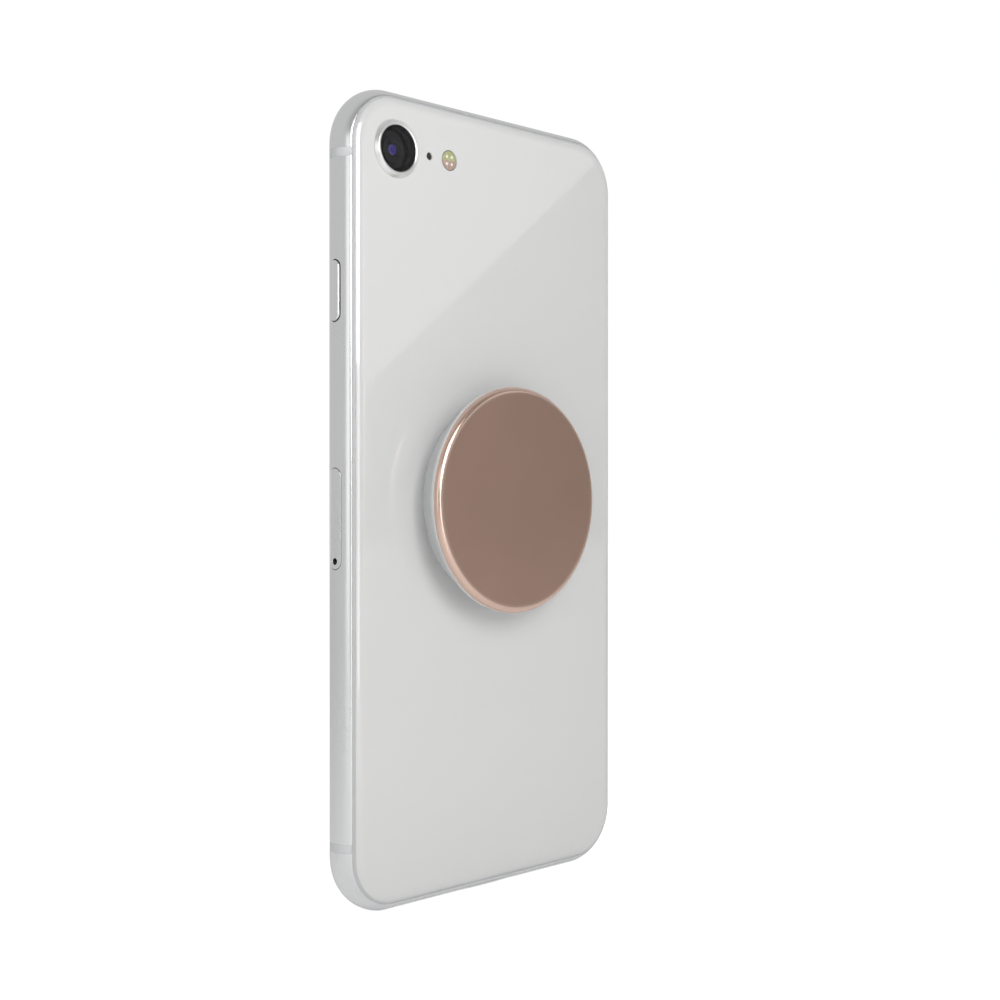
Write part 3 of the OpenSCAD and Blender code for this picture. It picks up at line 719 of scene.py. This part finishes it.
def seal(name, node):
    """A ring round the outline between glass and frame: the skin drawn in by 0.05, with rounded corners."""
    low, high = extent(node)[0][1], extent(node)[1][1]
    y = np.linspace(low, high, 7)
    bulge = 0.05 + 0.06 * (abs(y - (low + high) / 2) / ((high - low) / 2)) ** 6
    reach = np.concatenate([skin(y) - bulge, [SEAL_INNER, SEAL_INNER]])
    depth = np.concatenate([y, [high, low]])
    s = levels(0, *PATH[1:], step=0.8)[:-1]
    piece(name, "phone", [node], [lattice(around(s[:, None], reach, depth), wrap_u=True, wrap_v=True)])


def glass_edge():
    """Edge loops of a glass plate: the skin's circle, a small break at its foot, and the underside."""
    turn = np.radians(np.linspace(90, math.degrees(math.asin((EDGE - 0.92 * GLASS) / EDGE)), 14))
    loops = list(zip(EDGE * np.cos(turn), (1 - np.sin(turn)) * EDGE / GLASS))
    return loops + [(loops[-1][0] - 0.02, 1.0), (0.0, 1.0)]


def glass_plate(name, node, columns, rows, openings, outer):
    """A glass plate, flat face at depth `outer`; an opening is (low x, high x, low z, high z, outline)."""
    inner = GLASS if outer == 0 else THICK - GLASS
    grid, a, b = rounded_grid(columns, rows, ROUND)
    holes = [(span(b, z0, z1), span(a, x0, x1), rim) for x0, x1, z0, z1, rim in openings]

    def lift(ab, t):
        return joined(ab[..., 0], outer + (inner - outer) * t, ab[..., 1])
    piece(name, "phone", [node], sheet(grid, lift, holes, glass_edge(), (CORE_X, CORE_Z), 0.1), sharp=30.0)


def rear_glass_plate():
    """Rear glass with the holes of the camera, microphone and flash."""
    columns = np.append(levels(-CORE_X, 8.4, step=2.2)[:-1],
                        levels(8.4, 13.6, 14.5, 16.9, 18.0, CORE_X, step=0.42))
    rows = np.append(levels(-CORE_Z, 53.2, step=2.2)[:-1], levels(53.2, 56.4, 57.75, CORE_Z, step=0.42))
    top = CORE_Z + ROUND
    glass_plate("back_glass", "rear_glass", columns, rows, [
        (18.0, CORE_X + ROUND, 53.2, top, bar(CAMERA, 2 * CAMERA_HOLE, 2 * CAMERA_HOLE)),
        (14.5, 16.9, 57.75, CORE_Z + ROUND / 6, bar(MICROPHONE, 2 * MICROPHONE_R, 2 * MICROPHONE_R)),
        (8.4, 13.6, 56.4, CORE_Z + ROUND / 3, bar(FLASH, 2 * FLASH_R, 2 * FLASH_R))], THICK)


def front_glass_plate():
    """Front glass with the hole of the home key and the earpiece slot."""
    columns = levels(-CORE_X, -7.6, -6.6, 6.6, 7.6, CORE_X, step=0.6)
    rows = np.concatenate([levels(-CORE_Z, -52.5, step=0.6)[:-1], levels(-52.5, 57.2, step=2.4)[:-1],
                           levels(57.2, CORE_Z, step=0.6)])
    glass_plate("screen_glass", "front_glass", columns, rows, [
        (-7.6, 7.6, -CORE_Z - ROUND, -52.5, bar(HOME, 2 * HOME_HOLE, 2 * HOME_HOLE)),
        (-6.6, 6.6, 57.2, CORE_Z + ROUND / 2, bar(EAR, *EAR_SLOT))], 0.0)


# ---------------------------------------------------------------- keys, slider and tray
def pill_grid(length, width, fillet):
    """The grid of a bar with round ends, smaller all round by its fillet, and its core."""
    core = (length - width) / 2
    grid, a, _ = rounded_grid(levels(-core, core, step=0.4), np.array([0.0]), width / 2 - fillet)
    return grid, a, (core, 0.0)


def rounded_edge(fillet, height, foot=()):
    """Edge loops of a key: a quarter round of radius fillet in a key of the given height, then any foot."""
    turn = np.radians(np.linspace(0, 90, 7))
    return [*zip(fillet * np.sin(turn), fillet * (1 - np.cos(turn)) / height), *foot, (0.0, 1.0)]


def side_key(name, node, side):
    """A side key: a crowned bar whose face drops away from its middle line as a circle of radius KEY_BULGE
    does, with a flange behind the frame."""
    low, high = extent(node)
    face, back = max(abs(low[0]), abs(high[0])), min(abs(low[0]), abs(high[0]))
    height, fillet, flange = face - back, 0.16, (face - KEY_FOOT) / (face - back)
    grid, _, core = pill_grid(KEY_L, KEY_W, fillet)

    def lift(ab, t):
        drop = (KEY_BULGE - np.sqrt(KEY_BULGE ** 2 - ab[..., 1] ** 2)) * (t < flange)
        return joined(side * (face - drop - height * t), MID + ab[..., 1], middle(node)[2] + ab[..., 0])
    foot = [(fillet, flange - 0.02), (fillet, flange), (fillet + 0.5, flange), (fillet + 0.5, 1.0)]
    piece(name, node, [node], sheet(grid, lift, edge=rounded_edge(fillet, height, foot), core=core))


def mute_slider():
    """The mute slider: a small bar with three shallow ridges across its face."""
    low, high = extent("mute_slider")
    face, back, y = -low[0], -high[0], (low[1] + high[1]) / 2
    height, fillet = face - back, 0.14
    grid, _, core = pill_grid(MUTE_L, MUTE_W, fillet)

    def lift(ab, t):
        ridge = 0.04 * (1 - np.cos(ab[..., 1] * 12.0)) * (abs(ab[..., 0]) < core[0]) * (t == 0)
        return joined(-(face - ridge - height * t), y + ab[..., 1], MUTE_Z + ab[..., 0])
    patches = sheet(grid, lift, edge=rounded_edge(fillet, height), core=core)
    piece("mute_tab", "mute_slider", ["mute_slider"], patches)


def tray_cap():
    """The tray's cap: a bar of the body's skin with the pin hole at its lower end."""
    length, width = (size - 2 * TRAY_GAP for size in TRAY_SLOT)
    fillet, deep = 0.07, 2.2
    grid, a, core = pill_grid(length, width, fillet)

    def lift(ab, t):
        y = MID + ab[..., 1]
        return joined(CORE_X + skin(y) - deep * t, y, TRAY_Z + ab[..., 0])
    block = span(a, a[0], -core[0] + 1.6)
    hole = ((0, grid.shape[0] - 1), block, bar((PIN_Z - TRAY_Z, 0.0), 2 * PIN_R, 2 * PIN_R))
    return sheet(grid, lift, [hole], rounded_edge(fillet, deep), core, 0.03)


def tray_plate():
    """The tray's plate: a flat strip with a recess for the card and a window through the recess."""
    x0, x1 = extent("sim_tray")[0][0], CORE_X + INNER + 0.3
    low, high, recess, step, window_x, window_z = 3.2, 4.2, 3.9, 0.03, 3.4, 5.0
    half_x, half_z = CARD_W / 2, CARD_L / 2
    columns = levels(x0, CARD_X - half_x, CARD_X - half_x + step, CARD_X - window_x, CARD_X + window_x,
                     CARD_X + half_x - step, CARD_X + half_x, x1, step=1.0)
    rows = PLATE_Z + levels(-PLATE_L / 2, -half_z, -half_z + step, -window_z, window_z, half_z - step, half_z,
                            PLATE_L / 2, step=1.0)

    def lift(ab, t):
        across, along = abs(ab[..., 0] - CARD_X), abs(ab[..., 1] - PLATE_Z)
        top = np.where((across < half_x - step / 2) & (along < half_z - step / 2), recess, low)
        return joined(ab[..., 0], top + (high - top) * t, ab[..., 1])
    hole = (span(rows, PLATE_Z - window_z, PLATE_Z + window_z),
            span(columns, CARD_X - window_x, CARD_X + window_x), same)
    return sheet(joined(*np.meshgrid(columns, rows)), lift, [hole])


def card_tray():
    """Card tray: its cap and the plate behind it."""
    piece("card_tray", "sim_tray", ["sim_tray"], tray_cap() + tray_plate())


# ---------------------------------------------------------------- camera row
def camera():
    """Camera trim, cover and lens stack, each a turned profile on the camera's axis."""
    trim = [(3.9, -0.45), (4.45, -0.45), (4.45, 0.0), (4.9, 0.0), (4.9, 0.12), (4.4, 0.75), (4.12, 0.75),
            (3.9, 0.61)]
    profile = filleted(trim, 0.07, closed=True)
    piece("camera_bezel", "phone", ["camera_trim"], turned(profile, CAMERA), sharp=50.0)
    cover = [(0, 0.55), (3.88, 0.55), (3.88, -0.05), (0, -0.05)]
    piece("camera_cover", "phone", ["camera_window"], turned(filleted(cover, 0.08), CAMERA))
    r = np.linspace(0, 1.1, 8)
    dome = list(zip(r, -0.86 - 0.12 * (r / 1.1) ** 2))
    stack = dome + [(1.16, -1.04), (1.7, -0.58), (2.2, -0.56), (2.3, -0.7), (2.38, -0.7), (2.4, -1.0),
                    (3.15, -1.0), (3.2, -1.05), (3.2, -3.55), (0, -3.55)]
    piece("camera_lens_stack", "phone", ["camera_lens"], turned(filleted(stack, 0.04), CAMERA))


def flash():
    """Flash lens: a shallow dome with prism rings 0.14 apart."""
    r = np.linspace(0, 1.6, 70)
    face = list(zip(r, -0.02 - 0.03 * (r / 1.6) ** 2 + 0.008 * np.cos(r * math.tau / 0.14)))
    rest = [(1.72, -0.06), (1.75, -0.1), (1.75, -0.4), (0, -0.4)]
    piece("flash_window", "phone", ["flash_lens"], turned(face + rest, FLASH, steps=96), sharp=60.0)


# ---------------------------------------------------------------- front and bottom
def home_key():
    """Home key, a dish 0.2 deep in the middle with a rounded rim, and the ring round it."""
    r = np.linspace(0, HOME_R - 0.2, 16)
    dish = list(zip(r, 0.30 - 0.2 * (r / HOME_R) ** 2))
    edge = filleted([dish[-1], (HOME_R, 0.1), (HOME_R, HOME_DEPTH), (0, HOME_DEPTH)], 0.12)
    piece("home_button", "phone", ["home_key"], turned(np.vstack([dish[:-1], edge]), HOME, 0.0))
    ring = [(HOME_R + 0.04, HOME_DEPTH), (HOME_R + 0.04, 0.05), (HOME_RING, 0.05), (HOME_RING, HOME_DEPTH)]
    profile = filleted(ring, 0.14, closed=True)
    piece("home_trim", "phone", ["home_key_ring"], turned(profile, HOME, 0.0), sharp=50.0)


def ear_mesh():
    """Earpiece mesh: a bar of woven mesh, pressed into a shallow pillow between its edges."""
    (_, near, _), (_, far, _) = extent("earpiece_mesh")
    grid, _, core = pill_grid(EAR_SLOT[0] - 0.06, EAR_SLOT[1] - 0.06, 0.05)

    def lift(ab, t):
        sag = 0.03 * (t == 0) * (abs(ab[..., 1]) / 0.7) ** 2
        return joined(EAR[0] + ab[..., 0], near + (far - near) * t + sag, EAR[1] + ab[..., 1])
    patches = sheet(grid, lift, edge=rounded_edge(0.05, far - near), core=core)
    piece("ear_grille", "phone", ["earpiece_mesh"], patches)


def case_screws():
    """Two screws in the bottom edge. Loops run from the rim of the head to the recess, a circle that swells
    and shrinks six times round, down its wall and to its middle, and down the head and shank behind."""
    face, seat, tip = SCREW_FACE, SCREW_SEAT, extent("case_screws")[1][2]
    angle = np.linspace(0, math.tau, 72, endpoint=False)
    loops = [(0, 0, tip), (SHANK_R, 0, tip), (SHANK_R, 0, seat), (SCREW_R, 0, seat), (SCREW_R, 0, face + 0.1),
             (SCREW_R - 0.03, 0, face + 0.03), (SCREW_R - 0.1, 0, face), (0.56, 0.12, face),
             (0.52, 0.12, face + 0.04), (0.5, 0.12, face + 0.5), (0, 0, face + 0.55)]
    radius, lobe, z = np.array(loops).T[:, :, None]
    r = radius * (1 + lobe * np.cos(6 * angle))
    patches = [lattice(joined(side * SCREW_X + r * np.cos(angle), MID + r * np.sin(angle), z), wrap_v=True)
               for side in (-1, 1)]
    piece("case_screw_pair", "phone", ["case_screws"], patches)


# ---------------------------------------------------------------- grip
def grip_base():
    """Adhesive pad and base cup of the grip, turned about the grip's axis."""
    pad = [(0, 0.0), (BASE_R - 0.12, 0.0), (BASE_R - 0.1, PAD_TOP / 2), (BASE_R - 0.12, PAD_TOP),
           (0, PAD_TOP)]
    piece("grip_pad", "phone", ["grip_adhesive"], turned(filleted(pad, 0.12)))
    cup = [(8.0, 1.4), (8.0, 1.0), (9.6, 1.0), (9.6, PAD_TOP), (BASE_R - 0.15, PAD_TOP),
           (BASE_R, PAD_TOP + 0.15), (BASE_R - 0.1, BASE_TOP - 0.2), (BASE_R - 0.35, BASE_TOP),
           (BASE_R - 1.5, BASE_TOP), (BASE_R - 1.5, 1.4)]
    piece("grip_cup", "phone", ["grip_base"], turned(filleted(cup, 0.14, closed=True)), sharp=50.0)


def grip_turntable():
    """The plate that turns in the base and holds the foot of the folds."""
    plate = [(5.5, PAD_TOP + 0.05), (9.5, PAD_TOP + 0.05), (9.5, 0.95), (7.94, 0.95), (7.94, 1.5),
             (15.3, 1.5), (15.3, TABLE_TOP), (5.5, TABLE_TOP)]
    profile = filleted(plate, 0.1, closed=True)
    piece("grip_plate", "grip_swivel", ["grip_turntable"], turned(profile), sharp=50.0)


def grip_folds():
    """The folding cone between the turntable and the top: two steep walls and two ledges with soft creases,
    turned once in its folded shape and attached to no body."""
    foot_r, neck_r, neck_top = 14.3, 9.6, 4.5
    cone = [(14.9, TABLE_TOP), (14.2, 2.75), (12.9, 3.0), (12.3, 3.75), (10.4, 4.0), (9.9, neck_top),
            (8.6, neck_top), (8.6, 4.1), (9.7, 3.7), (11.8, 3.4), (12.4, 2.7), (13.7, 2.45),
            (14.1, TABLE_TOP)]
    profile = filleted(cone, 0.3, closed=True, steps=7)
    item = piece("grip_cone", None, ["grip_bellows"], turned(profile), sharp=60.0)
    foot, neck = (0, (THICK + TABLE_TOP) * MM, 0), (0, (THICK + neck_top) * MM, 0)
    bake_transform(item)
    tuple(foot)
    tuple(neck)
    place = np.empty(3 * len(item.data.vertices))
    item.data.vertices.foreach_get("co", place)


def grip_top():
    """Collar, carrier disc and metal cap of the grip; the cap's rim is a quarter round as high as the cap."""
    collar = [(7.0, 3.6), (8.6, 3.6), (8.6, COLLAR_TOP), (7.0, COLLAR_TOP)]
    piece("grip_neck", "grip_top", ["grip_collar"], turned(filleted(collar, 0.1, closed=True)), sharp=50.0)
    disc = [(0, 3.5), (7.0, 3.5), (7.0, COLLAR_TOP), (GRIP_R - 0.12, COLLAR_TOP), (GRIP_R, COLLAR_TOP + 0.12),
            (GRIP_R, CAP_LOW), (0, CAP_LOW)]
    piece("grip_disc", "grip_top", ["grip_carrier"], turned(filleted(disc, 0.1), steps=256), sharp=50.0)
    bend = CAP_TOP - CAP_LOW
    turn = np.radians(np.linspace(0, 90, 16))
    rim = list(zip(GRIP_R - bend + bend * np.cos(turn), CAP_LOW + bend * np.sin(turn)))
    cap = [(0, CAP_LOW), (GRIP_R - 0.1, CAP_LOW), (GRIP_R - 0.02, CAP_LOW + 0.03)] + rim[1:]
    cap += [(GRIP_R - bend - 0.08, CAP_TOP), (GRIP_R / 2, CAP_TOP), (0, CAP_TOP)]
    piece("grip_face", "grip_top", ["grip_cap"], turned(cap, steps=256), sharp=50.0)


side_frame()
antenna_bands()
seal("back_seal", "rear_seal")
seal("screen_seal", "front_seal")
rear_glass_plate()
front_glass_plate()
side_key("power_button", "power_key", 1)
side_key("volume_up_button", "volume_up_key", -1)
side_key("volume_down_button", "volume_down_key", -1)
mute_slider()
card_tray()
camera()
flash()
home_key()
ear_mesh()
case_screws()
grip_base()
grip_turntable()
grip_folds()
grip_top()


# ---------------------------------------------------------------- camera, floor and light
BODY_CENTRE = np.array([0.0, MID, 0.0])
VIEW_AZIMUTH, VIEW_ELEVATION, VIEW_DISTANCE = 135.24, 0.14, 267.6
VIEW_LENS, VIEW_SENSOR, VIEW_SHIFT, VIEW_CLIP = 53.39, 36.0, 0.0203, 0.01
AMBIENT_FRONT, AMBIENT_BACK, BACKDROP_WHITE = 0.62, 0.14, 1.02
FLOOR_HALF, FLOOR_DROP, FLOOR_GLOW, FLOOR_BOUNCE = 1500.0, 0.02, 0.7, (0.12, 0.12, 0.12)
# the card's lower edge is seen in the back glass between these two points, this far behind them
CARD_SPAN = (29.5, THICK, 19.0), (-26.5, THICK, 63.5)
CARD_AWAY, CARD_SIZE, CARD_RADIANCE = 700.0, (560, 300), 0.6


def toward(azimuth, elevation):
    """Unit direction from the object: azimuth 0 is -Y and 90 is +X, elevation is above the horizon."""
    a, e = math.radians(azimuth), math.radians(elevation)
    return np.array([math.sin(a) * math.cos(e), -math.cos(a) * math.cos(e), math.sin(e)])


def aim(item, place, target):
    """Puts an object at a place in millimetres and points its -Z axis at the target."""
    item.location = Vector(np.array(place) * MM)
    item.rotation_euler = Vector(np.array(target) - place).to_track_quat("-Z", "Y").to_euler()


EYE = BODY_CENTRE + VIEW_DISTANCE * toward(VIEW_AZIMUTH, VIEW_ELEVATION)
MIRROR_EYE = np.array([EYE[0], 2 * THICK - EYE[1], EYE[2]])


def make_camera():
    """The camera, level with the middle of the body and turned about half way round its power-key side."""
    data = bpy.data.cameras.new("view")
    data.lens, data.sensor_width, data.shift_x = VIEW_LENS, VIEW_SENSOR, VIEW_SHIFT
    data.clip_start = VIEW_CLIP
    item = bpy.data.objects.new("view", data)
    bpy.context.scene.collection.objects.link(item)
    aim(item, EYE, BODY_CENTRE)
    bpy.context.scene.camera = item


def softbox(name, place, target, width, height, radiance):
    """A rectangular light of even brightness; its power is radiance times area times pi."""
    data = bpy.data.lights.new(name, "AREA")
    data.shape, data.size, data.size_y = "RECTANGLE", width * MM, height * MM
    data.energy = radiance * math.pi * width * height * MM * MM
    item = bpy.data.objects.new(name, data)
    bpy.context.scene.collection.objects.link(item)
    item.visible_camera = False
    aim(item, place, target)
    return item


def backdrop():
    """White surroundings. The view sees plain white; the object sees them brighter before the screen than
    behind the back."""
    world = bpy.data.worlds.new("surroundings")
    world.use_nodes = True
    bpy.context.scene.world = world
    tree = world.node_tree

    def add(kind, **inputs):
        node = tree.nodes.new("ShaderNode" + kind)
        for key, value in inputs.items():
            if isinstance(value, bpy.types.NodeSocket):
                tree.links.new(value, node.inputs[key])
            else:
                node.inputs[key].default_value = value
        return node

    depth = add("SeparateXYZ", Vector=add("TexCoord").outputs["Generated"]).outputs["Y"]
    seen = add("MapRange", **{"Value": depth, "From Min": 0.1, "From Max": 0.75, "To Min": AMBIENT_FRONT,
                              "To Max": AMBIENT_BACK}).outputs["Result"]
    pick = add("Mix", Factor=add("LightPath").outputs["Is Camera Ray"], A=seen, B=BACKDROP_WHITE)
    tree.links.new(pick.outputs[0], tree.nodes["Background"].inputs["Strength"])
    tree.nodes["Background"].inputs["Color"].default_value = (1.0, 1.0, 1.0, 1.0)


def floor():
    """A plain pale floor under the bottom edge."""
    across = levels(-FLOOR_HALF, FLOOR_HALF, step=300.0)
    points, faces = lattice(joined(*np.meshgrid(across, across), cad_box[0][2] / MM - FLOOR_DROP))
    mesh = bpy.data.meshes.new("floor")
    mesh.from_pydata((points * MM).tolist(), [], faces.tolist())
    finish = Finish("floor", 0.7)
    seen = finish.node("LightPath", {}, {}, "Is Camera Ray")
    finish.put(Base_Color=finish.tones(finish.noise(60.0), (0.9, 0.9, 0.9), 0.01),
               Emission_Strength=FLOOR_GLOW, Emission_Color=finish.mix(seen, FLOOR_BOUNCE, (1.0, 1.0, 1.0)))
    mesh.materials.append(finish.material)
    item = bpy.data.objects.new("floor", mesh)
    bpy.context.scene.collection.objects.link(item)


def lights():
    """Three soft boxes: a tall strip and a square one behind the back, and a broad one at the side."""
    softbox("strip_light", place=(45.0, 300.0, 0.0), target=(30.0, THICK, 0.0),
            width=70, height=420, radiance=2.5)
    softbox("back_light", place=(80.0, 230.0, 115.0), target=(20.0, THICK, 20.0),
            width=140, height=150, radiance=4.1)
    softbox("side_light", place=BODY_CENTRE + 700 * toward(124, 2), target=BODY_CENTRE,
            width=300, height=620, radiance=0.95)


def unit(vector):
    """A vector of length 1 along the given one."""
    return vector / np.linalg.norm(vector)


def mirror_card():
    """A bright card whose straight lower edge is seen in the back glass along the line between two of its
    points: the edge passes through the two rays that the glass reflects to the view."""
    width, height = CARD_SIZE
    first, last = (point + unit(point - MIRROR_EYE) * CARD_AWAY for point in np.array(CARD_SPAN))
    along, edge_middle = unit(last - first), (first + last) / 2
    facing = unit(BODY_CENTRE - edge_middle)
    up = unit(np.cross(along, facing))
    up *= np.sign(up[0] + up[2])
    normal = np.cross(along, up)
    normal *= np.sign(normal @ facing)
    item = softbox("mirror_card", edge_middle + up * height / 2, BODY_CENTRE, width, height, CARD_RADIANCE)
    axes = Matrix([list(axis) for axis in (np.cross(up, -normal), up, -normal)]).transposed()
    item.rotation_euler = axes.to_euler()


make_camera()
backdrop()
floor()
lights()
mirror_card()
bpy.context.scene.view_settings.view_transform = "Standard"
